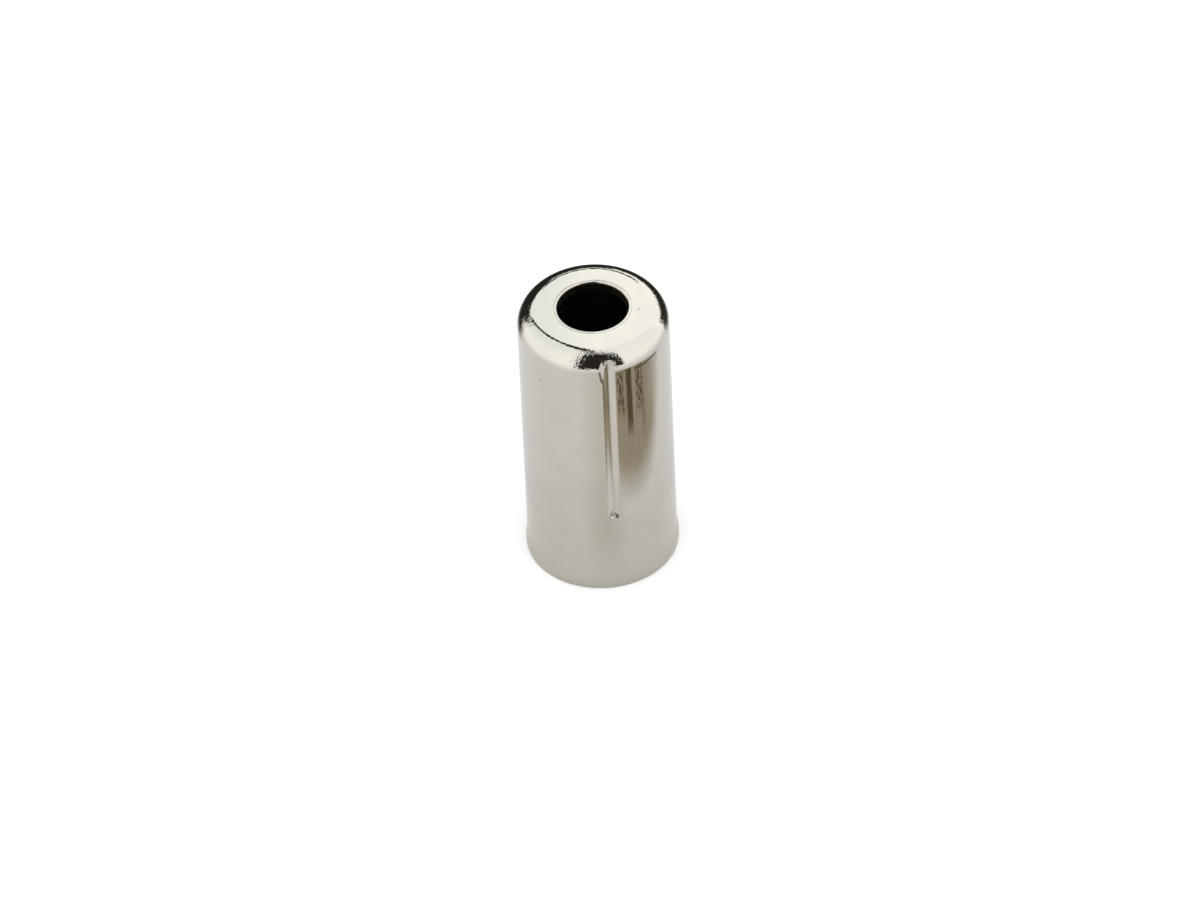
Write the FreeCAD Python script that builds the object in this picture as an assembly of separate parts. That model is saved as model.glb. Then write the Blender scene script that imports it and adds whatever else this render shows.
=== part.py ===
"""End cap for a bicycle's 5 mm brake housing.

One drawn metal cup stands on its open mouth, with its closed end up. The housing goes in
at the mouth and stops against the inside of the end wall, and the inner cable leaves
through the round hole in the end. The mouth is flared a little as a lead-in. Three
V-shaped crimps are pressed into the side wall and run up through the rounded shoulder.
Each one stands inside the bore as a rib that bites into the housing's plastic jacket.

The origin is the centre of the mouth's rim, and +Z runs along the axis to the closed end.
The front of the cap looks along -Y. All sizes are in millimetres and degrees.
"""
import FreeCAD
import Part
import math
import os

from FreeCAD import Vector

# The drawn cup
LENGTH = 12.5
BODY_DIAMETER = 6.0
WALL_THICKNESS = 0.45
END_THICKNESS = 0.5
INNER_CORNER_RADIUS = 0.45

# The hole for the inner cable, pierced through the end
CABLE_HOLE_DIAMETER = 2.8
HOLE_OUTER_ROUND = 0.09
HOLE_INNER_ROUND = 0.04

# The flared mouth
FLARE_OUT = 0.07
FLARE_HEIGHT = 0.9
LIP_HEIGHT = 0.07
RIM_ROUND = 0.07

# The crimps, each a groove outside and a rib inside
CRIMP_COUNT = 3
FIRST_CRIMP_ANGLE = 9.8
CRIMP_FOOT_HEIGHT = 3.8
FOOT_SLOPE = 56.0
FLANK_ANGLE = 58.5
GROOVE_DEPTH = 0.13
GROOVE_ROOT_RADIUS = 0.15
GROOVE_EDGE_RADIUS = 0.08
RIB_HEIGHT = 0.12
RIB_CREST_RADIUS = 0.5

# The nick that the crimping tool left beside the first groove's upper end
NICK_FOOT_HEIGHT = 11.2
NICK_LEAN = 9.0
NICK_OFFSET = 0.24
NICK_ROOT_RADIUS = 0.04

# How far a tool runs past the face that it has to pass
OVERRUN = 0.3

# Two lengths closer than this count as the same
SAME = 1e-5

BODY_RADIUS = BODY_DIAMETER / 2
BORE_RADIUS = BODY_RADIUS - WALL_THICKNESS
BORE_DEPTH = LENGTH - END_THICKNESS
HOLE_RADIUS = CABLE_HOLE_DIAMETER / 2
SHOULDER_RADIUS = INNER_CORNER_RADIUS + WALL_THICKNESS
SHOULDER_HEIGHT = LENGTH - SHOULDER_RADIUS
LIP_TOP = RIM_ROUND + LIP_HEIGHT
FLARE_TOP = LIP_TOP + FLARE_HEIGHT
FOOT_RISE = math.tan(math.radians(FOOT_SLOPE))

CENTRE = Vector(0, 0, 0)
UP = Vector(0, 0, 1)


class Section:
    """A chain of lines and arcs in the XZ plane, drawn from point to point."""

    def __init__(self, x, z):
        self.edges = []
        self.first = Vector(x, 0, z)
        self.last = self.first

    def line(self, x, z):
        """Adds a straight run to (x, z)."""
        end = Vector(x, 0, z)
        self.edges.append(Part.LineSegment(self.last, end).toShape())
        self.last = end

    def arc(self, x, z, centre_x, centre_z):
        """Adds the shorter arc to (x, z) about a centre."""
        end = Vector(x, 0, z)
        centre = Vector(centre_x, 0, centre_z)
        bisector = self.last + end - centre * 2
        bisector.normalize()
        middle = centre + bisector * (end - centre).Length
        self.edges.append(Part.Arc(self.last, middle, end).toShape())
        self.last = end

    def face(self):
        """Closes the chain with a straight run and fills it."""
        self.line(self.first.x, self.first.z)
        return Part.Face(Part.Wire(self.edges))


def add_flare(section, wall_radius, upwards):
    """Adds one side of the flare, two equal arcs that meet halfway up it."""
    half_out = FLARE_OUT / 2
    half_height = FLARE_HEIGHT / 2
    bend_radius = (half_out**2 + half_height**2) / FLARE_OUT
    lip_radius = wall_radius + FLARE_OUT
    bottom = (lip_radius, LIP_TOP)
    middle = (wall_radius + half_out, LIP_TOP + half_height)
    top = (wall_radius, FLARE_TOP)
    lower_centre = (lip_radius - bend_radius, LIP_TOP)
    upper_centre = (wall_radius + bend_radius, FLARE_TOP)
    if upwards:
        section.arc(*middle, *lower_centre)
        section.arc(*top, *upper_centre)
    else:
        section.arc(*middle, *upper_centre)
        section.arc(*bottom, *lower_centre)


def drawn_cup():
    """The cup before it is crimped, one section turned about the axis."""
    outer_lip = BODY_RADIUS + FLARE_OUT
    inner_lip = BORE_RADIUS + FLARE_OUT
    section = Section(outer_lip - RIM_ROUND, 0)
    section.arc(outer_lip, RIM_ROUND, outer_lip - RIM_ROUND, RIM_ROUND)
    section.line(outer_lip, LIP_TOP)
    add_flare(section, BODY_RADIUS, upwards=True)

    shoulder_x = BODY_RADIUS - SHOULDER_RADIUS
    section.line(BODY_RADIUS, SHOULDER_HEIGHT)
    section.arc(shoulder_x, LENGTH, shoulder_x, SHOULDER_HEIGHT)

    outer_edge_x = HOLE_RADIUS + HOLE_OUTER_ROUND
    outer_edge_z = LENGTH - HOLE_OUTER_ROUND
    section.line(outer_edge_x, LENGTH)
    section.arc(HOLE_RADIUS, outer_edge_z, outer_edge_x, outer_edge_z)
    inner_edge_x = HOLE_RADIUS + HOLE_INNER_ROUND
    inner_edge_z = BORE_DEPTH + HOLE_INNER_ROUND
    section.line(HOLE_RADIUS, inner_edge_z)
    section.arc(inner_edge_x, BORE_DEPTH, inner_edge_x, inner_edge_z)

    corner_x = BORE_RADIUS - INNER_CORNER_RADIUS
    corner_z = BORE_DEPTH - INNER_CORNER_RADIUS
    section.line(corner_x, BORE_DEPTH)
    section.arc(BORE_RADIUS, corner_z, corner_x, corner_z)
    section.line(BORE_RADIUS, FLARE_TOP)
    add_flare(section, BORE_RADIUS, upwards=False)
    section.line(inner_lip, RIM_ROUND)
    section.arc(inner_lip + RIM_ROUND, 0, inner_lip + RIM_ROUND, RIM_ROUND)
    return section.face().revolve(CENTRE, UP, 360)


def v_bar(root_x, root_radius, back_x, bottom, top):
    """An upright bar on +X with a V section.

    The V's round root looks at the axis and its flat back lies at back_x.
    """
    flank = math.radians(FLANK_ANGLE)
    touch_x = root_x + root_radius * (1 - math.sin(flank))
    touch_y = root_radius * math.cos(flank)
    back_y = touch_y + (back_x - touch_x) * math.tan(flank)
    root = Vector(root_x, 0, bottom)
    touches = [Vector(touch_x, side * touch_y, bottom) for side in (1, -1)]
    backs = [Vector(back_x, side * back_y, bottom) for side in (1, -1)]
    edges = [
        Part.Arc(touches[0], root, touches[1]).toShape(),
        Part.LineSegment(touches[1], backs[1]).toShape(),
        Part.LineSegment(backs[1], backs[0]).toShape(),
        Part.LineSegment(backs[0], touches[0]).toShape(),
    ]
    return Part.Face(Part.Wire(edges)).extrude(UP * (top - bottom))


def crimp_side(surface_x, depth, root_radius, back_x, top):
    """One side of a crimp on +X, a V bar whose foot rises from the surface to the root."""
    bottom = CRIMP_FOOT_HEIGHT - (back_x - surface_x) * FOOT_RISE
    bar = v_bar(surface_x - depth, root_radius, back_x, bottom, top)
    past_root = depth + OVERRUN
    under_foot = Section(back_x, bottom)
    under_foot.line(surface_x - past_root, bottom)
    under_foot.line(surface_x - past_root, CRIMP_FOOT_HEIGHT + past_root * FOOT_RISE)
    wedge = under_foot.face().extrude(Vector(0, BODY_DIAMETER, 0))
    wedge.translate(Vector(0, -BODY_RADIUS, 0))
    return bar.cut(wedge)


def groove():
    """What a crimp presses in from outside."""
    return crimp_side(
        BODY_RADIUS, GROOVE_DEPTH, GROOVE_ROOT_RADIUS, BODY_RADIUS + OVERRUN, LENGTH + OVERRUN
    )


def rib():
    """What a crimp pushes into the bore. Its back and its top end in the metal."""
    return crimp_side(
        BORE_RADIUS, RIB_HEIGHT, RIB_CREST_RADIUS,
        BORE_RADIUS + WALL_THICKNESS / 4, BORE_DEPTH + END_THICKNESS / 4,
    )


def nick():
    """The tool mark left of the groove on +X, a V that leans in from the side wall."""
    bar = v_bar(
        BODY_RADIUS, NICK_ROOT_RADIUS, BODY_RADIUS + OVERRUN, NICK_FOOT_HEIGHT, LENGTH + OVERRUN
    )
    bar.rotate(Vector(BODY_RADIUS, 0, NICK_FOOT_HEIGHT), Vector(0, -1, 0), NICK_LEAN)
    bar.rotate(CENTRE, UP, -math.degrees(NICK_OFFSET / BODY_RADIUS))
    return bar


def is_groove_edge(edge):
    """Whether an edge is a long upright one between a groove and the side wall."""
    middle = edge.CenterOfMass
    above_foot = edge.BoundBox.ZMin - CRIMP_FOOT_HEIGHT
    on_wall = abs(math.hypot(middle.x, middle.y) - BODY_RADIUS) < SAME
    to_shoulder = abs(edge.BoundBox.ZMax - SHOULDER_HEIGHT) < SAME
    return on_wall and to_shoulder and 0 < above_foot < GROOVE_DEPTH * FOOT_RISE


def crimped_cap():
    """The finished cap."""
    pitch = 360 / CRIMP_COUNT
    turns = [FIRST_CRIMP_ANGLE - 90 + pitch * index for index in range(CRIMP_COUNT)]
    cap = drawn_cup().fuse([rib().rotated(CENTRE, UP, turn) for turn in turns])
    cap = cap.cut([groove().rotated(CENTRE, UP, turn) for turn in turns])
    cap = cap.makeFillet(GROOVE_EDGE_RADIUS, [edge for edge in cap.Edges if is_groove_edge(edge)])
    return cap.cut(nick().rotated(CENTRE, UP, turns[0])).Solids[0]


def main():
    """Builds the cap and writes it."""
    os.makedirs("parts", exist_ok=True)
    crimped_cap().exportStep("parts/end_cap_shell.step")


main()
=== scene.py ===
"""Looks of a brake housing end cap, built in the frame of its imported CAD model.

The cap is one drawn metal cup with a bright nickel plate, and it stands on its open mouth.
The CAD shell is replaced by a finer shell of the same sizes, whose pressed crimps have rolled
edges. All sizes below are in millimetres and degrees unless a name says otherwise, and the
finished meshes are in metres. The front of the cap looks along -Y.
"""

import logging
import math
from dataclasses import dataclass, field
from enum import Enum

import bpy
import numpy as np
from mathutils import Matrix, Vector

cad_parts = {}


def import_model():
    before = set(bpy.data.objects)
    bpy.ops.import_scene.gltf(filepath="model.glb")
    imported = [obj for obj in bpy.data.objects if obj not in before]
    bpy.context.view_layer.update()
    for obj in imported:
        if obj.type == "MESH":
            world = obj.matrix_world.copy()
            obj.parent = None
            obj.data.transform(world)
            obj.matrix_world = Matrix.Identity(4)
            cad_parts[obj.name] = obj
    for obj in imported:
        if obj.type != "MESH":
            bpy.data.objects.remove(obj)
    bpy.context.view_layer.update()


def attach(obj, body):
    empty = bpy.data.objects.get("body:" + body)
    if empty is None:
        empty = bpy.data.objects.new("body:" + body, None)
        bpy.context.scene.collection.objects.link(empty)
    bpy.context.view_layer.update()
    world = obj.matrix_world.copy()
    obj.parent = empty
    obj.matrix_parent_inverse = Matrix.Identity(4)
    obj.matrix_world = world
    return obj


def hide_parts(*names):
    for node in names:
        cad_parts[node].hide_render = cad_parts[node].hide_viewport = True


LOG = logging.getLogger("end_cap")
MM = 0.001
ORIGIN = (0.0, 0.0, 0.0)

# The spin operator turns clockwise about its axis, so these two point backwards and down.
SECTION_AXIS = (0.0, 1.0, 0.0)
TURNING_AXIS = (0.0, 0.0, -1.0)

# Where the mixing node keeps its two colours and their mixture, as their names aren't unique.
MIX_FIRST = 6
MIX_SECOND = 7
MIX_RESULT = 2

Colour = tuple[float, float, float]
Point = tuple[float, float, float]
Pair = tuple[float, float]
Tree = bpy.types.NodeTree
Socket = bpy.types.NodeSocket


class Bend(Enum):
    """Which way an arc of a section runs, seen with X to the right and Z up."""

    LEFT = 1
    RIGHT = -1


def deselect_all() -> None:
    """Leaves no object selected, in object mode."""
    if bpy.context.object and bpy.context.object.mode != "OBJECT":
        bpy.ops.object.mode_set(mode="OBJECT")
    bpy.ops.object.select_all(action="DESELECT")


def named(name: str) -> bpy.types.Object:
    """Gives the active object and its mesh a name.

    Args:
        name: The name in plain words.

    Returns:
        The object that was active.
    """
    piece = bpy.context.object
    piece.name = name
    piece.data.name = name
    return piece


class Pen:
    """Draws a chain of vertices in space, with extrude."""

    def __init__(self, name: str, start: Point) -> None:
        """Sets the pen down as one vertex.

        Args:
            name: The new object's name.
            start: Where the chain begins.
        """
        deselect_all()
        bpy.ops.mesh.primitive_plane_add(size=1.0, location=start)
        bpy.ops.object.transform_apply(location=True, rotation=True, scale=True)
        self.piece = named(name)
        self.last = start
        bpy.ops.object.mode_set(mode="EDIT")
        bpy.ops.mesh.select_mode(type="VERT")
        bpy.ops.mesh.select_all(action="SELECT")
        bpy.ops.mesh.merge(type="CENTER")

    def to(self, end: Point, steps: int = 1) -> None:
        """Extrudes the chain's end straight to a point.

        Args:
            end: The point.
            steps: How many edges the run has.
        """
        stride = tuple((new - old) / steps for new, old in zip(end, self.last))
        for _ in range(steps):
            bpy.ops.mesh.extrude_vertices_move(TRANSFORM_OT_translate={"value": stride})
        self.last = end

    def widened(self, side: Point) -> bpy.types.Object:
        """Extrudes the whole chain sideways into a band.

        Args:
            side: How far the band reaches sideways.

        Returns:
            The band.
        """
        bpy.ops.mesh.select_all(action="SELECT")
        bpy.ops.mesh.extrude_edges_move(TRANSFORM_OT_translate={"value": side})
        bpy.ops.object.mode_set(mode="OBJECT")
        return self.piece


class SectionPen(Pen):
    """Draws a section in the XZ plane with extrude and spin, and turns it about the axis."""

    def __init__(self, name: str, x: float, z: float) -> None:
        """Sets the pen down as one vertex.

        Args:
            name: The new object's name.
            x: Where the chain begins, from the axis.
            z: Where the chain begins, above the floor.
        """
        super().__init__(name, (x, 0.0, z))

    def line(self, x: float, z: float, steps: int = 1) -> None:
        """Extrudes the chain's end straight to a point.

        Args:
            x: The point's distance from the axis.
            z: The point's height.
            steps: How many edges the run has.
        """
        self.to((x, 0.0, z), steps)

    def arc(self, centre_x: float, centre_z: float, turn: float, bend: Bend, steps: int) -> None:
        """Spins the chain's end about a centre.

        Args:
            centre_x: The centre's distance from the axis.
            centre_z: The centre's height.
            turn: The arc's angle in degrees.
            bend: Which way it runs.
            steps: How many edges the arc has.
        """
        angle = math.radians(turn) * bend.value
        bpy.ops.mesh.spin(
            steps=steps, angle=angle, center=(centre_x, 0.0, centre_z), axis=SECTION_AXIS
        )
        out_x = self.last[0] - centre_x
        out_z = self.last[2] - centre_z
        x = centre_x + out_x * math.cos(angle) - out_z * math.sin(angle)
        z = centre_z + out_x * math.sin(angle) + out_z * math.cos(angle)
        self.last = (x, 0.0, z)

    def dip(self, x: float, width: float, depth: float) -> None:
        """Draws a fine groove in a level run that goes towards the axis.

        Args:
            x: The groove's middle, from the axis.
            width: Its width.
            depth: Its depth.
        """
        level = self.last[2]
        self.line(x + width / 2, level)
        self.line(x + width / 4, level - depth / 2)
        self.line(x, level - depth)
        self.line(x - width / 4, level - depth / 2)
        self.line(x - width / 2, level)

    def turned(self, stretches: list[tuple[float, int]]) -> bpy.types.Object:
        """Spins the whole chain about the axis and closes the skin that it sweeps.

        Args:
            stretches: The angle in degrees and the number of steps of each stretch. The
                angles add up to a full turn.

        Returns:
            The closed piece, with its faces outwards.
        """
        bpy.ops.mesh.select_all(action="SELECT")
        for angle, steps in stretches:
            bpy.ops.mesh.spin(
                steps=steps, angle=math.radians(angle), center=ORIGIN, axis=TURNING_AXIS
            )
        bpy.ops.mesh.select_all(action="SELECT")
        bpy.ops.mesh.remove_doubles(threshold=0.0005)
        bpy.ops.mesh.normals_make_consistent(inside=False)
        bpy.ops.object.mode_set(mode="OBJECT")
        return self.piece


def soft_min(first: np.ndarray, second: np.ndarray, reach: float) -> np.ndarray:
    """The lower of two surfaces, with the corner between them rounded.

    Args:
        first: One surface's heights.
        second: The other surface's heights.
        reach: How far apart the two are where the rounding begins.

    Returns:
        The rounded lower surface.
    """
    share = np.clip(0.5 + 0.5 * (second - first) / reach, 0.0, 1.0)
    return second * (1.0 - share) + first * share - reach * share * (1.0 - share)


@dataclass(frozen=True)
class PressTool:
    """A V-shaped tool as it stands in the wall that it has marked, on the wall's +X side."""

    surface: float
    depth: float
    root_radius: float
    flank: float
    foot: float
    foot_rise: float
    lean: float
    edge_reach: float
    foot_reach: float

    def face(self, across: np.ndarray, height: np.ndarray) -> np.ndarray:
        """How far out from the axis the tool's face stands.

        Args:
            across: Places across the groove, from its middle.
            height: Places up the wall.

        Returns:
            The face's distance from the axis at each place.
        """
        flank = math.radians(self.flank)
        touch_across = self.root_radius * math.cos(flank)
        touch_out = self.root_radius * (1.0 - math.sin(flank))
        side = np.abs(across)
        inside_root = np.minimum(side, touch_across)
        rounded = self.root_radius - np.sqrt(self.root_radius**2 - inside_root**2)
        straight = touch_out + (side - touch_across) / math.tan(flank)
        vee = np.where(side < touch_across, rounded, straight)
        leaned = (height - self.foot) * math.tan(math.radians(self.lean))
        root = self.surface - self.depth - leaned + vee
        if not self.foot_rise:
            return root
        slope = self.surface - (height - self.foot) / self.foot_rise
        return -soft_min(-root, -slope, self.foot_reach)

    def press(self, points: np.ndarray, azimuth: float, chosen: np.ndarray) -> None:
        """Moves a wall's vertices in to the tool's face.

        No operator gives a groove its sloping foot, its round root and its rolled edges on a
        curved shoulder, so the vertices are moved in code.

        Args:
            points: The vertices, which this changes.
            azimuth: The groove's direction in degrees from +X.
            chosen: Which vertices belong to the wall that the tool marks.
        """
        turn = math.radians(azimuth)
        out = np.array((math.cos(turn), math.sin(turn)))
        along = np.array((-math.sin(turn), math.cos(turn)))
        radial = points[:, :2] @ out
        across = points[:, :2] @ along
        near = chosen & (radial > 0.0) & (np.abs(across) < self.surface / 4)
        face = self.face(across[near], points[near, 2])
        pressed = soft_min(radial[near], face, self.edge_reach)
        inwards = (pressed - radial[near])[:, None] * out
        points[near, :2] += inwards


@dataclass(frozen=True)
class Finish:
    """What all finishes share: a name and a fresh node tree."""

    name: str

    def fresh(self) -> tuple[bpy.types.Material, Tree]:
        """Makes an empty material.

        Returns:
            The material and its node tree.
        """
        material = bpy.data.materials.new(self.name)
        material.use_nodes = True
        material.node_tree.nodes.clear()
        return material, material.node_tree


def feed(tree: Tree, socket: Socket, value: object) -> None:
    """Gives an input of a node its value.

    Args:
        tree: The tree that the node is in.
        socket: The input.
        value: A plain value, a colour of three parts, or the output to link.
    """
    if isinstance(value, Socket):
        tree.links.new(value, socket)
    elif socket.type == "RGBA":
        socket.default_value = (*value, 1.0)
    else:
        socket.default_value = value


def add_node(tree: Tree, kind: str, **values: object) -> bpy.types.Node:
    """Adds a node and sets it.

    Args:
        tree: The tree that the node goes into.
        kind: The node's type without its ShaderNode start.
        values: Names of the node's own settings with their values. A name that is one of
            its inputs is set, or linked where the value is a socket.

    Returns:
        The new node.
    """
    node = tree.nodes.new("ShaderNode" + kind)
    for key, value in values.items():
        socket = node.inputs.get(key.replace("_", " "))
        if socket is None:
            setattr(node, key, value)
        else:
            feed(tree, socket, value)
    return node


def add_place(tree: Tree) -> Socket:
    """Adds the place on the piece in millimetres, from its origin.

    Args:
        tree: The tree that the nodes go into.

    Returns:
        The place.
    """
    place = add_node(tree, "TexCoord").outputs["Object"]
    to_millimetres = (1 / MM, 1 / MM, 1 / MM)
    return add_node(tree, "Mapping", Vector=place, Scale=to_millimetres).outputs["Vector"]


def add_math(tree: Tree, operation: str, *values: Socket | float) -> Socket:
    """Adds a Math node.

    Args:
        tree: The tree that the node goes into.
        operation: The node's operation.
        values: What goes into it, in order.

    Returns:
        The node's result.
    """
    node = add_node(tree, "Math", operation=operation)
    for socket, value in zip(node.inputs, values):
        feed(tree, socket, value)
    return node.outputs["Value"]


def add_noise(tree: Tree, place: Socket, scale: float, detail: float) -> Socket:
    """Adds a soft noise.

    Args:
        tree: The tree that the node goes into.
        place: Where it is read.
        scale: How fine it is.
        detail: How many finer layers it has.

    Returns:
        The noise, from 0 to 1.
    """
    return add_node(tree, "TexNoise", Vector=place, Scale=scale, Detail=detail).outputs["Fac"]


def add_distance(tree: Tree, place: Socket, start: Point, end: Point) -> Socket:
    """Measures how far a place is from a short straight line.

    Args:
        tree: The tree that the node goes into.
        place: The place.
        start: The line's start.
        end: The line's end.

    Returns:
        The distance.
    """
    run = Vector(end) - Vector(start)
    subtract = add_node(tree, "VectorMath", operation="SUBTRACT", Vector=place)
    feed(tree, subtract.inputs[1], start)
    from_start = subtract.outputs["Vector"]
    along = add_node(tree, "VectorMath", operation="DOT_PRODUCT", Vector=from_start)
    feed(tree, along.inputs[1], run / run.length_squared)
    share = add_node(tree, "Clamp", Value=along.outputs["Value"]).outputs["Result"]
    nearest = add_node(tree, "VectorMath", operation="SCALE", Vector=run, Scale=share)
    apart = add_node(tree, "VectorMath", operation="DISTANCE", Vector=from_start)
    feed(tree, apart.inputs[1], nearest.outputs["Vector"])
    return apart.outputs["Value"]


def add_ramp(tree: Tree, value: Socket, low: float, high: float) -> Socket:
    """Adds a smooth step from 0 to 1.

    Args:
        tree: The tree that the node goes into.
        value: What is read.
        low: Where the step is still 0.
        high: Where it has reached 1. It may be less than low.

    Returns:
        The step's result.
    """
    node = add_node(
        tree, "MapRange", interpolation_type="SMOOTHSTEP", Value=value, From_Min=low, From_Max=high
    )
    return node.outputs["Result"]


def add_mix(
    tree: Tree, share: Socket, first: Socket | Colour, second: Socket | Colour
) -> Socket:
    """Mixes two colours.

    Args:
        tree: The tree that the node goes into.
        share: How much of the second colour shows.
        first: The colour at 0.
        second: The colour at 1.

    Returns:
        The mixed colour.
    """
    node = add_node(tree, "Mix", data_type="RGBA", Factor=share)
    feed(tree, node.inputs[MIX_FIRST], first)
    feed(tree, node.inputs[MIX_SECOND], second)
    return node.outputs[MIX_RESULT]


def add_shader_mix(tree: Tree, share: Socket, first: Socket, second: Socket) -> Socket:
    """Mixes two shaders.

    Args:
        tree: The tree that the node goes into.
        share: How much of the second shader shows.
        first: The shader at 0.
        second: The shader at 1.

    Returns:
        The mixed shader.
    """
    node = add_node(tree, "MixShader", Fac=share)
    feed(tree, node.inputs[1], first)
    feed(tree, node.inputs[2], second)
    return node.outputs["Shader"]


@dataclass(frozen=True)
class DarkStroke:
    """A short dark mark on the plate along a straight line: a nick, or painted shade."""

    start: Point
    end: Point
    half_width: float
    depth: float


@dataclass(frozen=True)
class NickelPlate(Finish):
    """Bright nickel on drawn steel, with the marks of drawing, handling and a little wear, and
    painted shade in a crease, at a groove's foot and in the tool's nick.
    """

    name: str = "nickel_plate"
    warm: Colour = (0.640, 0.620, 0.560)
    cool: Colour = (0.602, 0.590, 0.540)
    hazy: Colour = (0.550, 0.545, 0.505)
    # The colour below is the bore's dull thin plate, darkened further by painted shade inside the
    # cup.
    dull_and_shade: Colour = (0.330, 0.300, 0.250)
    # The dark colour below serves the dirt specks and also painted shade in the crease, at the front
    # groove's foot and in the tool's nick.
    grime_and_shade: Colour = (0.038, 0.034, 0.024)
    cloud_scale: float = 0.8
    smear_scale: float = 0.9
    roughness: float = 0.018
    smear_roughness: float = 0.03
    bore_roughness: float = 0.28
    mark_roughness: float = 0.35
    ragged_scale: float = 14.0
    speck_scale: float = 0.9
    speck_depth: float = 0.5
    nicks_and_shade_strokes: tuple[DarkStroke, ...] = (
        DarkStroke((1.76, -0.33, 12.5), (1.83, -0.24, 12.5), 0.024, 0.45),
        DarkStroke((-2.20, -2.05, 10.62), (-2.14, -2.10, 10.60), 0.026, 0.45),
        # The next two marks are painted shade at the front groove's foot, and the one after them is
        # painted shade on the tool nick's flank.
        DarkStroke((0.59, -2.90, 3.83), (0.62, -2.89, 3.80), 0.046, 1.0),
        DarkStroke((0.43, -2.89, 3.88), (0.50, -2.89, 3.90), 0.070, 0.45),
        DarkStroke((0.155, -3.0, 11.70), (0.235, -2.99, 11.20), 0.042, 0.75),
    )
    # Where the painted shade of the hairline crease lies.
    crease_height: float = 11.14
    crease_rise: float = 0.18
    crease_width: float = 0.052
    crease_left: Pair = (1.50, 1.85)
    crease_right: Pair = (2.45, 2.36)
    haze_edge: Pair = (12.25, 12.4)
    haze_sides: Pair = (0.2, -2.0)
    clear_place: tuple[Point, Point] = ((1.85, -1.95, 12.2), (2.0, -1.8, 12.2))
    clear_reach: Pair = (0.9, 1.45)
    shoulder_edge: Pair = (11.45, 11.75)
    end_edge: Pair = (12.36, 12.49)
    end_calm: float = 0.85
    peel_scale: float = 8.5
    peel_depth: float = 0.013
    peel_on_wall: float = 0.04
    line_scale: Point = (9.0, 9.0, 0.25)
    line_depth: float = 0.0004
    wave_scale: float = 0.7
    wave_depth: float = 0.004
    bore_radius: float = 2.64
    end_underside: float = 12.03
    hole_edge: Pair = (1.43, 1.41)

    def material(self) -> bpy.types.Material:
        """Builds the plate's nodes.

        Returns:
            The material.
        """
        material, tree = self.fresh()
        place = add_place(tree)
        bore = self.bore(tree, place)
        marks = self.marks(tree, place)
        cloud = add_noise(tree, place, self.cloud_scale, detail=3.0)
        plate = add_mix(tree, add_ramp(tree, cloud, 0.3, 0.8), self.warm, self.cool)
        plate = add_mix(tree, self.haze(tree, place), plate, self.hazy)
        # Darkens the bore and the hole's wall: partly their dull plate, partly painted shade.
        plate = add_mix(tree, bore, plate, self.dull_and_shade)
        # Mixes in the dirt specks and the painted shade of the crease, the groove's foot and the
        # tool's nick.
        plate = add_mix(tree, marks, plate, self.grime_and_shade)
        smear = add_ramp(tree, add_noise(tree, place, self.smear_scale, detail=4.0), 0.35, 0.7)
        rough = add_math(tree, "MULTIPLY_ADD", smear, self.smear_roughness, self.roughness)
        rough = add_math(tree, "MULTIPLY_ADD", bore, self.bore_roughness, rough)
        rough = add_math(tree, "MULTIPLY_ADD", marks, self.mark_roughness, rough)
        shader = add_node(
            tree, "BsdfPrincipled", Metallic=1.0, Base_Color=plate, Roughness=rough,
            Normal=self.relief(tree, place),
        )
        add_node(tree, "OutputMaterial", Surface=shader.outputs["BSDF"])
        return material

    def bore(self, tree: Tree, place: Socket) -> Socket:
        """Where the thin, dull plate of the bore and of the hole's cut edge is, darkened further by
        painted shade in this recess.

        Args:
            tree: The plate's node tree.
            place: The place in millimetres.

        Returns:
            A mask from 0 to 1.
        """
        parts = add_node(tree, "SeparateXYZ", Vector=place).outputs
        flat = add_node(tree, "CombineXYZ", X=parts["X"], Y=parts["Y"]).outputs["Vector"]
        radius = add_node(tree, "VectorMath", operation="LENGTH", Vector=flat).outputs["Value"]
        under_end = add_math(tree, "LESS_THAN", parts["Z"], self.end_underside)
        in_bore = add_math(tree, "LESS_THAN", radius, self.bore_radius)
        in_hole = add_ramp(tree, radius, *self.hole_edge)
        return add_math(tree, "MAXIMUM", add_math(tree, "MULTIPLY", under_end, in_bore), in_hole)

    def haze(self, tree: Tree, place: Socket) -> Socket:
        """Where handling has left a faint haze, on one side of the end's face.

        Args:
            tree: The plate's node tree.
            place: The place in millimetres.

        Returns:
            A mask from 0 to 1.
        """
        parts = add_node(tree, "SeparateXYZ", Vector=place).outputs
        on_end = add_ramp(tree, parts["Z"], *self.haze_edge)
        return add_math(tree, "MULTIPLY", on_end, add_ramp(tree, parts["X"], *self.haze_sides))

    def marks(self, tree: Tree, place: Socket) -> Socket:
        """Where the dirt specks, the nicks and the painted shade of the crease, the groove's foot and
        the tool's nick are.

        Args:
            tree: The plate's node tree.
            place: The place in millimetres.

        Returns:
            A mask from 0 to 1.
        """
        ragged = add_noise(tree, place, self.ragged_scale, detail=2.0)
        sparse = add_node(
            tree, "TexVoronoi", Vector=place, Scale=self.speck_scale, Randomness=1.0
        ).outputs["Distance"]
        mask = add_ramp(tree, add_math(tree, "MULTIPLY", sparse, ragged), 0.011, 0.006)
        mask = add_math(tree, "MULTIPLY", mask, self.speck_depth)
        # Each mark is a nick or painted shade, as the list above says.
        for nick in self.nicks_and_shade_strokes:
            apart = add_distance(tree, place, nick.start, nick.end)
            edge = add_math(tree, "MULTIPLY", apart, ragged)
            inside = add_ramp(tree, edge, nick.half_width * 0.8, nick.half_width * 0.3)
            mask = add_math(tree, "MAXIMUM", mask, add_math(tree, "MULTIPLY", inside, nick.depth))
        return add_math(tree, "MAXIMUM", mask, self.crease_shade(tree, place))

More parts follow.
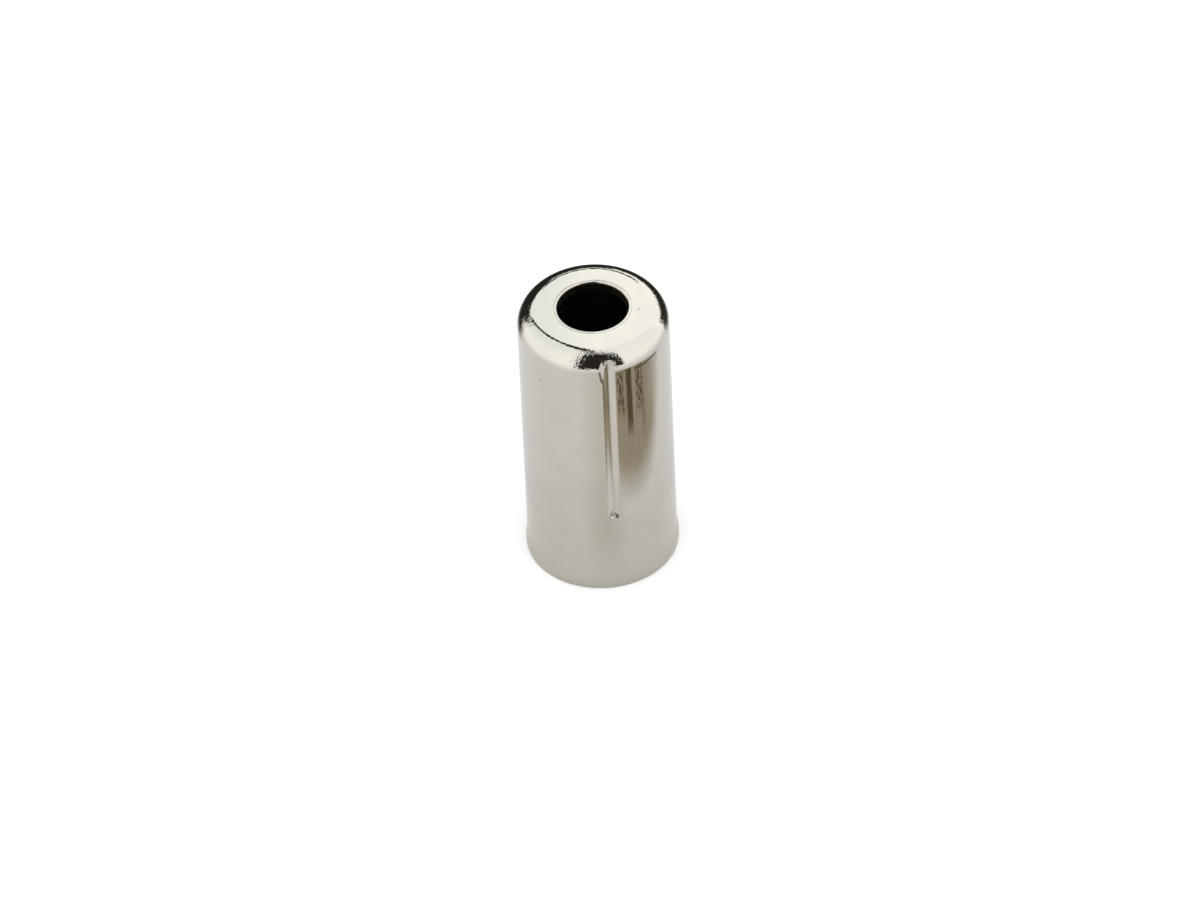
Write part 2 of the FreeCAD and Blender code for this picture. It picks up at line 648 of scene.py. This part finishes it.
    def crease_shade(self, tree: Tree, place: Socket) -> Socket:
        """Where painted shade darkens a hairline crease along the shoulder's lower edge at the front
        right.

        Args:
            tree: The plate's node tree.
            place: The place in millimetres.

        Returns:
            A mask from 0 to 1.
        """
        parts = add_node(tree, "SeparateXYZ", Vector=place).outputs
        level = add_math(tree, "MULTIPLY_ADD", parts["X"], -self.crease_rise, parts["Z"])
        apart = add_math(tree, "ABSOLUTE", add_math(tree, "SUBTRACT", level, self.crease_height))
        thin = add_ramp(tree, apart, self.crease_width, self.crease_width / 3)
        begun = add_ramp(tree, parts["X"], *self.crease_left)
        along = add_math(tree, "MULTIPLY", begun, add_ramp(tree, parts["X"], *self.crease_right))
        in_front = add_math(tree, "LESS_THAN", parts["Y"], 0.0)
        return add_math(tree, "MULTIPLY", add_math(tree, "MULTIPLY", thin, along), in_front)

    def relief(self, tree: Tree, place: Socket) -> Socket:
        """The plate's fine relief: peel on the shoulder, draw lines on the wall, long waves.

        Args:
            tree: The plate's node tree.
            place: The place in millimetres.

        Returns:
            The bent normal.
        """
        height = add_node(tree, "SeparateXYZ", Vector=place).outputs["Z"]
        on_shoulder = add_ramp(tree, height, *self.shoulder_edge)
        apart = add_distance(tree, place, *self.clear_place)
        uneven = add_math(tree, "MULTIPLY", on_shoulder, add_ramp(tree, apart, *self.clear_reach))
        on_end = add_ramp(tree, height, *self.end_edge)
        kept = add_math(tree, "MULTIPLY_ADD", on_end, -self.end_calm, 1.0)
        peeled = add_math(tree, "MULTIPLY", uneven, kept)
        peel_share = add_math(
            tree, "MULTIPLY_ADD", peeled, 1.0 - self.peel_on_wall, self.peel_on_wall
        )
        peel = add_node(
            tree, "TexNoise", Vector=place, Scale=self.peel_scale, Detail=2.0, Roughness=0.6
        ).outputs["Fac"]
        stretched = add_node(tree, "Mapping", Vector=place, Scale=self.line_scale)
        lines = add_noise(tree, stretched.outputs["Vector"], scale=1.0, detail=2.0)
        waves = add_noise(tree, place, self.wave_scale, detail=1.0)
        bump = add_node(tree, "Bump", Height=waves, Strength=1.0, Distance=self.wave_depth * MM)
        for source, share, depth in (
            (lines, 1.0, self.line_depth),
            (peel, peel_share, self.peel_depth),
        ):
            bump = add_node(
                tree, "Bump", Height=source, Strength=share, Distance=depth * MM,
                Normal=bump.outputs["Normal"],
            )
        return bump.outputs["Normal"]


@dataclass
class EndCap:
    """The cap's one piece, with the sizes of its CAD shell."""

    length: float = 12.5
    body_radius: float = 3.0
    wall: float = 0.45
    end_thickness: float = 0.5
    inner_corner: float = 0.45
    hole_radius: float = 1.4
    hole_outer_round: float = 0.07
    hole_inner_round: float = 0.04
    flare_out: float = 0.07
    flare_height: float = 0.9
    lip_height: float = 0.07
    rim_round: float = 0.07
    crimp_count: int = 3
    first_crimp: float = 9.8
    foot: float = 3.8
    foot_slope: float = 56.0
    flank: float = 58.5
    groove_depth: float = 0.13
    groove_root: float = 0.15
    groove_reach: float = 0.025
    foot_reach: float = 0.05
    rib_height: float = 0.12
    rib_crest: float = 0.5
    nick_foot: float = 11.2
    nick_lean: float = 9.0
    nick_offset: float = 0.24
    nick_root: float = 0.04
    ring_offset: float = 0.133
    ring_lead: float = 0.175
    ring_width: float = 0.05
    ring_depth: float = 0.014
    below_foot: float = 0.1
    above_foot: float = 0.5
    crimp_span: float = 20.0
    fine_step: float = 1 / 3
    coarse_step: float = 2.0
    finish: NickelPlate = field(default_factory=NickelPlate)

    @property
    def bore_radius(self) -> float:
        """The bore's radius."""
        return self.body_radius - self.wall

    @property
    def bore_depth(self) -> float:
        """The height of the end wall's underside."""
        return self.length - self.end_thickness

    @property
    def lip_radius(self) -> float:
        """The outside radius of the flared mouth."""
        return self.body_radius + self.flare_out

    @property
    def lip_top(self) -> float:
        """The height at which the flare begins."""
        return self.rim_round + self.lip_height

    @property
    def crimp_azimuths(self) -> list[float]:
        """Each crimp's direction in degrees from +X, rising from 0 to 360, the first one last."""
        pitch = 360 / self.crimp_count
        first = self.first_crimp - 90
        return sorted((first + pitch * index) % 360 for index in range(self.crimp_count))

    def draw_flare(self, pen: SectionPen, wall_radius: float, upwards: bool) -> None:
        """Draws one side of the flare, two equal arcs that meet halfway up it.

        Args:
            pen: The section's pen, at the flare's near end.
            wall_radius: The straight wall's radius on this side.
            upwards: Whether the pen climbs the flare.
        """
        half_out = self.flare_out / 2
        half_height = self.flare_height / 2
        bend_radius = (half_out**2 + half_height**2) / self.flare_out
        turn = math.degrees(math.asin(half_height / bend_radius))
        lower = (wall_radius + self.flare_out - bend_radius, self.lip_top)
        upper = (wall_radius + bend_radius, self.lip_top + self.flare_height)
        if upwards:
            pen.arc(*lower, turn, Bend.LEFT, steps=8)
            pen.arc(*upper, turn, Bend.RIGHT, steps=8)
        else:
            pen.arc(*upper, turn, Bend.LEFT, steps=5)
            pen.arc(*lower, turn, Bend.RIGHT, steps=5)

    def draw_outside(self, pen: SectionPen) -> None:
        """Draws the rim, the outer wall, the shoulder and the end's face up to the hole.

        Args:
            pen: The section's pen, at the rim's outer corner.
        """
        pen.arc(self.lip_radius - self.rim_round, self.rim_round, 90, Bend.LEFT, 8)
        pen.line(self.lip_radius, self.lip_top)
        self.draw_flare(pen, self.body_radius, upwards=True)
        shoulder_radius = self.inner_corner + self.wall
        shoulder_foot = self.length - shoulder_radius
        pen.line(self.body_radius, self.foot - self.below_foot, steps=4)
        pen.line(self.body_radius, self.foot + self.above_foot, steps=34)
        pen.line(self.body_radius, self.nick_foot - self.below_foot, steps=8)
        pen.line(self.body_radius, shoulder_foot, steps=16)
        pen.arc(self.body_radius - shoulder_radius, shoulder_foot, 90, Bend.LEFT, 72)
        pen.line(self.hole_radius + self.ring_lead, self.length, steps=4)
        pen.dip(self.hole_radius + self.ring_offset, self.ring_width, self.ring_depth)
        edge_x = self.hole_radius + self.hole_outer_round
        pen.line(edge_x, self.length)
        pen.arc(edge_x, self.length - self.hole_outer_round, 90, Bend.LEFT, 8)

    def draw_inside(self, pen: SectionPen) -> None:
        """Draws the hole's wall, the end's underside, the bore and the rim's inner side.

        Args:
            pen: The section's pen, at the top of the hole's wall.
        """
        edge_z = self.bore_depth + self.hole_inner_round
        pen.line(self.hole_radius, edge_z, steps=3)
        pen.arc(self.hole_radius + self.hole_inner_round, edge_z, 90, Bend.LEFT, 4)
        corner_x = self.bore_radius - self.inner_corner
        corner_z = self.bore_depth - self.inner_corner
        pen.line(corner_x, self.bore_depth, steps=3)
        pen.arc(corner_x, corner_z, 90, Bend.RIGHT, 14)
        pen.line(self.bore_radius, self.foot + self.above_foot, steps=8)
        pen.line(self.bore_radius, self.foot - self.below_foot * 2, steps=20)
        pen.line(self.bore_radius, self.lip_top + self.flare_height, steps=3)
        self.draw_flare(pen, self.bore_radius, upwards=False)
        inner_lip = self.bore_radius + self.flare_out
        pen.line(inner_lip, self.rim_round)
        pen.arc(inner_lip + self.rim_round, self.rim_round, 90, Bend.LEFT, 6)
        pen.line(self.lip_radius - self.rim_round, 0.0, steps=2)

    def stretches(self) -> list[tuple[float, int]]:
        """Splits the turn so that the crimps get fine steps and the plain wall coarse ones.

        Returns:
            The angle and the number of steps of each stretch, from +X round.
        """
        made = []
        reached = 0.0
        for azimuth in self.crimp_azimuths:
            start = azimuth - self.crimp_span / 2
            made.append((start - reached, round((start - reached) / self.coarse_step)))
            made.append((self.crimp_span, round(self.crimp_span / self.fine_step)))
            reached = start + self.crimp_span
        made.append((360 - reached, round((360 - reached) / self.coarse_step)))
        return made

    def press_crimps(self, shell: bpy.types.Object) -> None:
        """Presses the grooves, the ribs behind them and the tool's nick.

        Args:
            shell: The turned shell, which this changes.
        """
        rise = math.tan(math.radians(self.foot_slope))
        groove = PressTool(
            self.body_radius, self.groove_depth, self.groove_root, self.flank,
            self.foot, rise, 0.0, self.groove_reach, self.foot_reach,
        )
        rib = PressTool(
            self.bore_radius, self.rib_height, self.rib_crest, self.flank,
            self.foot, rise, 0.0, self.groove_reach, self.foot_reach,
        )
        nick = PressTool(
            self.body_radius, 0.0, self.nick_root, self.flank,
            self.nick_foot, 0.0, self.nick_lean, self.groove_reach / 2, self.foot_reach,
        )
        count = len(shell.data.vertices)
        points = np.empty(count * 3)
        shell.data.vertices.foreach_get("co", points)
        points = points.reshape(-1, 3)
        radius = np.hypot(points[:, 0], points[:, 1])
        middle_of_wall = self.body_radius - self.wall / 2
        in_bore = (radius < middle_of_wall) & (points[:, 2] < self.bore_depth + self.hole_inner_round)
        for azimuth in self.crimp_azimuths:
            groove.press(points, azimuth, ~in_bore)
            rib.press(points, azimuth, in_bore)
        nick_turn = math.degrees(self.nick_offset / self.body_radius)
        over_foot = ~in_bore & (points[:, 2] > self.nick_foot)
        nick.press(points, self.crimp_azimuths[-1] - nick_turn, over_foot)
        shell.data.vertices.foreach_set("co", points.ravel())
        shell.data.update()

    def build(self) -> None:
        """Makes the shell and dresses it."""
        pen = SectionPen("shell", self.lip_radius - self.rim_round, 0.0)
        self.draw_outside(pen)
        self.draw_inside(pen)
        shell = pen.turned(self.stretches())
        self.press_crimps(shell)
        deselect_all()
        shell.select_set(True)
        bpy.context.view_layer.objects.active = shell
        shell.scale = (MM, MM, MM)
        bpy.ops.object.transform_apply(location=True, rotation=True, scale=True)
        bpy.ops.object.shade_smooth()
        shell.data.materials.clear()
        shell.data.materials.append(self.finish.material())
        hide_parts("end_cap_shell")
        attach(shell, "root")
        triangles = sum(len(face.vertices) - 2 for face in shell.data.polygons)
        LOG.info("shell: %d triangles", triangles)


@dataclass(frozen=True)
class PaleFloor(Finish):
    """The matt surface that the cap stands on."""

    name: str = "pale_floor"
    colour: Colour = (0.905, 0.905, 0.900)

    def material(self) -> bpy.types.Material:
        """Builds the floor's nodes.

        Returns:
            The material.
        """
        material, tree = self.fresh()
        shader = add_node(tree, "BsdfDiffuse", Color=self.colour, Roughness=0.5)
        add_node(tree, "OutputMaterial", Surface=shader.outputs["BSDF"])
        return material


@dataclass(frozen=True)
class Glow(Finish):
    """A card that shines evenly, or is dark where its colour is."""

    name: str = "card"
    colour: Colour = (1.0, 1.0, 1.0)
    strength: float = 1.0

    def material(self) -> bpy.types.Material:
        """Builds the card's nodes.

        Returns:
            The material.
        """
        material, tree = self.fresh()
        shader = add_node(tree, "Emission", Color=self.colour, Strength=self.strength)
        add_node(tree, "OutputMaterial", Surface=shader.outputs["Emission"])
        material.cycles.emission_sampling = "NONE"
        return material


@dataclass(frozen=True)
class Streak:
    """A dark streak in the painted brown reflection, which runs outwards at one bearing."""

    bearing: float
    half_width: float
    start: float
    depth: float
    crumbled: float


@dataclass(frozen=True)
class PaintedFloorReflection(Finish):
    """What the metal sees on the floor, all painted: a grey painted shade, and the painted reflection
    of a brown patch at the front right.
    """

    name: str = "painted_floor_reflection"
    # Painted shade over the floor as only the metal sees it: each veil darkens the floor's
    # reflection, the one straight ahead is a painted shadow, and the close one is lighter, as painted
    # light over the cap's contact shadow.
    shade_veil: Colour = (0.705, 0.698, 0.705)
    front_shade_veil: Colour = (0.708, 0.690, 0.680)
    ahead_shadow_veil: Colour = (0.602, 0.588, 0.560)
    close_light_veil: Colour = (0.775, 0.762, 0.750)
    far_shade_veil: Colour = (0.930, 0.920, 0.915)
    pale: Colour = (0.420, 0.362, 0.280)
    deep: Colour = (0.095, 0.074, 0.034)
    shade: Colour = (0.070, 0.065, 0.060)
    patch_edge: Pair = (6.8, 9.9)
    patch_end: Pair = (20.5, 15.9)
    patch_bearing: float = 47.4
    left_edge: Pair = (12.0, 19.0)
    right_edge: Pair = (112.0, 72.0)
    front_edge: Pair = (75.0, 15.0)
    near_bearing: float = 5.0
    near_edge: Pair = (34.0, 0.0)
    close_edge: Pair = (6.2, 3.4)
    far_edge: Pair = (18.0, 75.0)
    shade_edge: Pair = (15.0, 30.0)
    shade_sides: Pair = (116.0, 124.0)
    streaks: tuple[Streak, ...] = (
        Streak(46.0, 5.8, 10.8, 1.0, 0.15),
        Streak(61.0, 7.5, 11.5, 1.0, 0.9),
        Streak(66.5, 3.0, 10.2, 0.4, 0.0),
        Streak(33.5, 7.0, 11.7, 1.0, 0.9),
    )
    streak_side: float = 0.45
    streak_rise: float = 1.4
    wander: float = 3.0
    grain_scale: Pair = (0.35, 0.2)
    grain_depth: float = 0.25
    crumb_scale: Pair = (0.32, 5.5)
    crumb_edge: Pair = (0.53, 0.45)

    def material(self) -> bpy.types.Material:
        """Builds the tint's nodes.

        Returns:
            The material.
        """
        material, tree = self.fresh()
        place = add_place(tree)
        parts = add_node(tree, "SeparateXYZ", Vector=place).outputs
        radius = add_node(tree, "VectorMath", operation="LENGTH", Vector=place).outputs["Value"]
        forwards = add_math(tree, "MULTIPLY", parts["Y"], -1.0)
        bearing = add_math(tree, "ARCTAN2", parts["X"], forwards)
        degrees = add_math(tree, "MULTIPLY", bearing, math.degrees(1.0))
        glow = add_node(tree, "Emission", Color=self.patch_colour(tree, radius, degrees))
        clear = add_node(tree, "BsdfTransparent", Color=self.veil_colour(tree, radius, degrees))
        cover = self.patch_cover(tree, parts, radius, degrees)
        lit = add_shader_mix(tree, cover, clear.outputs["BSDF"], glow.outputs["Emission"])
        behind = add_ramp(tree, add_math(tree, "ABSOLUTE", degrees), *self.shade_sides)
        shaded = add_math(tree, "MULTIPLY", behind, add_ramp(tree, radius, *self.shade_edge))
        shade = add_node(tree, "Emission", Color=self.shade)
        whole = add_shader_mix(tree, shaded, lit, shade.outputs["Emission"])
        add_node(tree, "OutputMaterial", Surface=whole)
        material.cycles.emission_sampling = "NONE"
        return material

    def veil_colour(self, tree: Tree, radius: Socket, degrees: Socket) -> Socket:
        """The colour of the painted shade over the floor's reflection: warmer in front, a painted
        shadow straight ahead, thinner near the cap and far out.

        Args:
            tree: The tint's node tree.
            radius: The distance from the cap's axis.
            degrees: The bearing from the front towards +X.

        Returns:
            The colour.
        """
        in_front = add_ramp(tree, add_math(tree, "ABSOLUTE", degrees), *self.front_edge)
        aside = add_math(tree, "SUBTRACT", degrees, self.near_bearing)
        ahead = add_ramp(tree, add_math(tree, "ABSOLUTE", aside), *self.near_edge)
        shade_veil = add_mix(tree, in_front, self.shade_veil, self.front_shade_veil)
        shade_veil = add_mix(tree, ahead, shade_veil, self.ahead_shadow_veil)
        shade_veil = add_mix(tree, add_ramp(tree, radius, *self.close_edge), shade_veil, self.close_light_veil)
        return add_mix(tree, add_ramp(tree, radius, *self.far_edge), shade_veil, self.far_shade_veil)

    def patch_cover(
        self, tree: Tree, parts: bpy.types.NodeOutputs, radius: Socket, degrees: Socket
    ) -> Socket:
        """Where the painted brown reflection lies: beyond a straight edge, between two bearings,
        fading far out.

        Args:
            tree: The tint's node tree.
            parts: The place's X, Y and Z in millimetres.
            radius: The distance from the cap's axis.
            degrees: The bearing from the front towards +X.

        Returns:
            A mask from 0 to 1.
        """
        bearing = math.radians(self.patch_bearing)
        across = add_math(tree, "MULTIPLY", parts["X"], math.sin(bearing))
        outwards = add_math(tree, "MULTIPLY_ADD", parts["Y"], -math.cos(bearing), across)
        sides = add_math(
            tree, "MULTIPLY",
            add_ramp(tree, degrees, *self.left_edge), add_ramp(tree, degrees, *self.right_edge),
        )
        near = add_ramp(tree, outwards, *self.patch_edge)
        ended = add_ramp(tree, radius, *self.patch_end)
        return add_math(tree, "MULTIPLY", sides, add_math(tree, "MULTIPLY", near, ended))

    def patch_colour(self, tree: Tree, radius: Socket, degrees: Socket) -> Socket:
        """The painted brown reflection's colour, with dark streaks that point at the cap.

        Args:
            tree: The tint's node tree.
            radius: The distance from the cap's axis.
            degrees: The bearing from the front towards +X.

        Returns:
            The colour.
        """
        grain = self.polar_noise(tree, radius, degrees, self.grain_scale, detail=3.0)
        shift = add_math(tree, "SUBTRACT", grain, 0.5)
        reach = add_math(tree, "MULTIPLY_ADD", shift, self.wander, radius)
        bearing = add_math(tree, "MULTIPLY_ADD", shift, self.wander, degrees)
        grainy = add_ramp(tree, grain, 0.45, 0.75)
        darkness = add_math(tree, "MULTIPLY", grainy, self.grain_depth)
        crumbs = self.polar_noise(tree, radius, degrees, self.crumb_scale, detail=0.0)
        gaps = add_ramp(tree, crumbs, *self.crumb_edge)
        for streak in self.streaks:
            off_middle = add_math(tree, "SUBTRACT", bearing, streak.bearing)
            aside = add_math(tree, "ABSOLUTE", off_middle)
            full_side = streak.half_width * self.streak_side
            inside = add_ramp(tree, aside, streak.half_width, full_side)
            begun = add_ramp(tree, reach, streak.start, streak.start + self.streak_rise)
            whole = add_math(tree, "MULTIPLY", inside, begun)
            shown = add_math(tree, "MULTIPLY", whole, streak.depth)
            kept = add_math(tree, "MULTIPLY_ADD", gaps, -streak.crumbled, 1.0)
            broken = add_math(tree, "MULTIPLY", shown, kept)
            darkness = add_math(tree, "MAXIMUM", darkness, broken)
        return add_mix(tree, darkness, self.pale, self.deep)

    def polar_noise(
        self, tree: Tree, radius: Socket, degrees: Socket, scale: Pair, detail: float
    ) -> Socket:
        """A noise that is stretched along the lines which point at the cap.

        Args:
            tree: The tint's node tree.
            radius: The distance from the cap's axis.
            degrees: The bearing from the front towards +X.
            scale: How fine it is round the cap and outwards.
            detail: How many finer layers it has.

        Returns:
            The noise, from 0 to 1.
        """
        place = add_node(
            tree, "CombineXYZ",
            X=add_math(tree, "MULTIPLY", degrees, scale[0]),
            Y=add_math(tree, "MULTIPLY", radius, scale[1]),
        ).outputs["Vector"]
        return add_noise(tree, place, 1.0, detail)


def seen_in_metal_only(card: bpy.types.Object) -> None:
    """Keeps a card out of the picture and its light off the floor, so only the metal shows it.

    Args:
        card: The card.
    """
    card.visible_camera = False
    card.visible_diffuse = False
    card.visible_shadow = False
    card.visible_transmission = False


@dataclass
class Studio:
    """The floor, the light and the cards that the nickel mirrors."""

    floor_width: float = 4000.0
    tint_width: float = 400.0
    tint_height: float = 0.02
    tent_radius: float = 200.0
    tent_rise: Pair = (-4.0, 88.0)
    tent_back_radius: float = 194.0
    tent_back_sides: Pair = (112.0, 226.0)
    tent_back_rise: Pair = (3.0, 89.0)
    hung_radius: float = 88.0
    back_radius: float = 40.0
    card_step: float = 4.0
    ceiling: float = 72.0
    left_seam_width: float = 10.0
    right_seam_width: float = 3.2
    sky: Colour = (1.45, 1.45, 1.455)
    side_glow: float = 1.33
    top_glow: float = 1.42
    seam_glow: float = 0.72
    tent_colour: Colour = (1.0, 1.0, 0.985)
    dark: Colour = (0.030, 0.026, 0.022)
    left_seam: tuple[Pair, ...] = (
        (-97.0, 90.0), (-46.0, 45.0), (-24.0, 24.0), (-19.0, 17.0), (-11.0, 0.0), (-3.0, -22.0),
    )
    right_seam: tuple[Pair, ...] = (
        (10.0, -5.0), (21.0, 3.0), (35.0, 9.0), (61.0, 20.0), (112.0, 51.0),
    )
    hung_cards: tuple[tuple[float, float, float, float], ...] = (
        (-26.0, 14.5, -2.0, 74.0), (14.5, 25.0, 34.0, 74.0), (25.0, 38.0, 0.0, 70.0),
        (168.0, 192.0, 32.5, 39.5),
    )
    back_cards: tuple[tuple[float, float, float], ...] = (
        (116.0, 160.0, 22.0), (160.0, 174.0, 22.5), (174.0, 193.0, 27.5), (193.0, 236.0, 33.0),
    )

    def steps(self, turn: float) -> int:
        """How many edges an arc of a card has."""
        return max(2, round(turn / self.card_step))

    def patch(
        self, name: str, radius: float, azimuths: Pair, elevations: Pair, finish: Finish
    ) -> None:
        """Makes a card that is part of a sphere about the cap's foot, by two spins.

        Args:
            name: The card's name.
            radius: The sphere's radius.
            azimuths: Where it begins and ends, from the front towards +X.
            elevations: Its lowest and highest edge, from the floor's horizon.
            finish: What it is made of.
        """
        low = math.radians(elevations[0])
        pen = SectionPen(name, radius * math.cos(low), radius * math.sin(low))
        climb = elevations[1] - elevations[0]
        pen.arc(0.0, 0.0, climb, Bend.LEFT, self.steps(climb))
        sweep = azimuths[1] - azimuths[0]
        self.set_up(pen.turned([(sweep, self.steps(sweep))]), azimuths[0], finish)

    def seam(self, name: str, places: tuple[Pair, ...], across: float, finish: Finish) -> None:
        """Runs a narrow dark line across the tent's ceiling.

        Args:
            name: The seam's name.
            places: The corners of its run, to the side and to the back.
            across: Its width.
            finish: What it is made of.
        """
        pen = Pen(name, (*places[0], self.ceiling))
        for place in places[1:]:
            pen.to((*place, self.ceiling))
        width = across / math.sqrt(2)
        self.set_up(pen.widened((width, width, 0.0)), 90.0, finish)

    def standing_card(
        self, name: str, radius: float, azimuths: Pair, height: float, finish: Finish
    ) -> None:
        """Stands a curved card on the floor.

        Args:
            name: The card's name.
            radius: Its distance from the cap's axis.
            azimuths: Where it begins and ends, from the front towards +X.
            height: Its height.
            finish: What it is made of.
        """
        pen = SectionPen(name, radius, 0.0)
        pen.line(radius, height)
        sweep = azimuths[1] - azimuths[0]
        self.set_up(pen.turned([(sweep, self.steps(sweep))]), azimuths[0], finish)

    def set_up(self, card: bpy.types.Object, azimuth: float, finish: Finish) -> None:
        """Turns a card to its side, brings it to size and dresses it.

        Args:
            card: The card as it was drawn, towards +X.
            azimuth: The side that it goes to, from the front towards +X.
            finish: What it is made of.
        """
        deselect_all()
        card.select_set(True)
        bpy.context.view_layer.objects.active = card
        card.rotation_euler = (0.0, 0.0, math.radians(azimuth - 90.0))
        card.scale = (MM, MM, MM)
        bpy.ops.object.transform_apply(location=True, rotation=True, scale=True)
        card.data.materials.clear()
        card.data.materials.append(finish.material())
        seen_in_metal_only(card)
        LOG.info("card: %s", card.name)

    def build_floor(self) -> None:
        """Lays the floor."""
        deselect_all()
        bpy.ops.mesh.primitive_plane_add(size=self.floor_width * MM, location=ORIGIN)
        floor = named("floor")
        floor.data.materials.append(PaleFloor().material())

    def build_light(self) -> None:
        """Lights the floor from all round."""
        world = bpy.data.worlds.new("studio_light")
        world.use_nodes = True
        background = world.node_tree.nodes["Background"]
        background.inputs["Color"].default_value = (*self.sky, 1.0)
        background.inputs["Strength"].default_value = 1.0
        bpy.context.scene.world = world

    def build_cards(self) -> None:
        """Sets up the cards round the cap."""
        side = Glow("tent_side", self.tent_colour, self.side_glow)
        top = Glow("tent_top", self.tent_colour, self.top_glow)
        seam = Glow("faint_seam", self.tent_colour, self.seam_glow)
        dark = Glow("dark_card", self.dark, 1.0)
        self.patch("tent_side", self.tent_radius, (0.0, 360.0), self.tent_rise, side)
        self.patch(
            "tent_back", self.tent_back_radius, self.tent_back_sides, self.tent_back_rise, top
        )
        for index, (start, end, low, high) in enumerate(self.hung_cards):
            self.patch(f"hung_card_{index}", self.hung_radius, (start, end), (low, high), dark)
        for index, (start, end, height) in enumerate(self.back_cards):
            self.standing_card(
                f"back_card_{index}", self.back_radius, (start, end), height, dark
            )
        self.seam("left_seam", self.left_seam, self.left_seam_width, dark)
        self.seam("right_seam", self.right_seam, self.right_seam_width, seam)
        self.build_painted_floor_reflection()

    def build_painted_floor_reflection(self) -> None:
        """Lays the painted shade and painted reflection that the metal sees just over the floor."""
        deselect_all()
        place = (0.0, 0.0, self.tint_height * MM)
        bpy.ops.mesh.primitive_plane_add(size=self.tint_width * MM, location=place)
        bpy.ops.object.transform_apply(location=True, rotation=True, scale=True)
        card = named("painted_floor_reflection")
        card.data.materials.append(PaintedFloorReflection().material())
        seen_in_metal_only(card)

    def build(self) -> None:
        """Makes the whole stage."""
        self.build_floor()
        self.build_light()
        self.build_cards()
        LOG.info("stage ready")


@dataclass
class StillCamera:
    """The camera at the viewing angle of the picture that the scene follows."""

    elevation: float = 43.5
    distance: float = 361.0
    roll: float = -2.567
    lens: float = 273.1
    sensor: float = 36.0
    look_at_height: float = 6.275
    aim_right: float = 0.094
    aim_down: float = 1.126
    clip_start: float = 10.0
    clip_end: float = 10000.0

    def build(self) -> None:
        """Sets the camera up."""
        tilt = math.radians(self.elevation)
        turn = math.radians(self.roll)
        back = Vector((0.0, -math.cos(tilt), math.sin(tilt)))
        right = Vector((1.0, 0.0, 0.0))
        up = Vector((0.0, math.sin(tilt), math.cos(tilt)))
        rolled_right = right * math.cos(turn) + up * math.sin(turn)
        rolled_up = up * math.cos(turn) - right * math.sin(turn)
        target = Vector((0.0, 0.0, self.look_at_height))
        place = target + back * self.distance
        aim = target + rolled_right * self.aim_right - rolled_up * self.aim_down
        back_axis = (place - aim).normalized()
        right_axis = rolled_up.cross(back_axis).normalized()
        up_axis = back_axis.cross(right_axis)
        data = bpy.data.cameras.new("camera")
        data.lens = self.lens
        data.sensor_width = self.sensor
        data.clip_start = self.clip_start * MM
        data.clip_end = self.clip_end * MM
        camera = bpy.data.objects.new("camera", data)
        bpy.context.scene.collection.objects.link(camera)
        frame = Matrix((right_axis, up_axis, back_axis)).transposed().to_4x4()
        frame.translation = place * MM
        camera.matrix_world = frame
        bpy.context.scene.camera = camera


def main() -> None:
    """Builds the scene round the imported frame."""
    logging.basicConfig(level=logging.INFO, format="%(name)s: %(message)s")
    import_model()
    StillCamera().build()
    EndCap().build()
    Studio().build()
    settings = bpy.context.scene.view_settings
    settings.view_transform = "Standard"
    settings.look = "None"


if __name__ == "__main__":
    main()
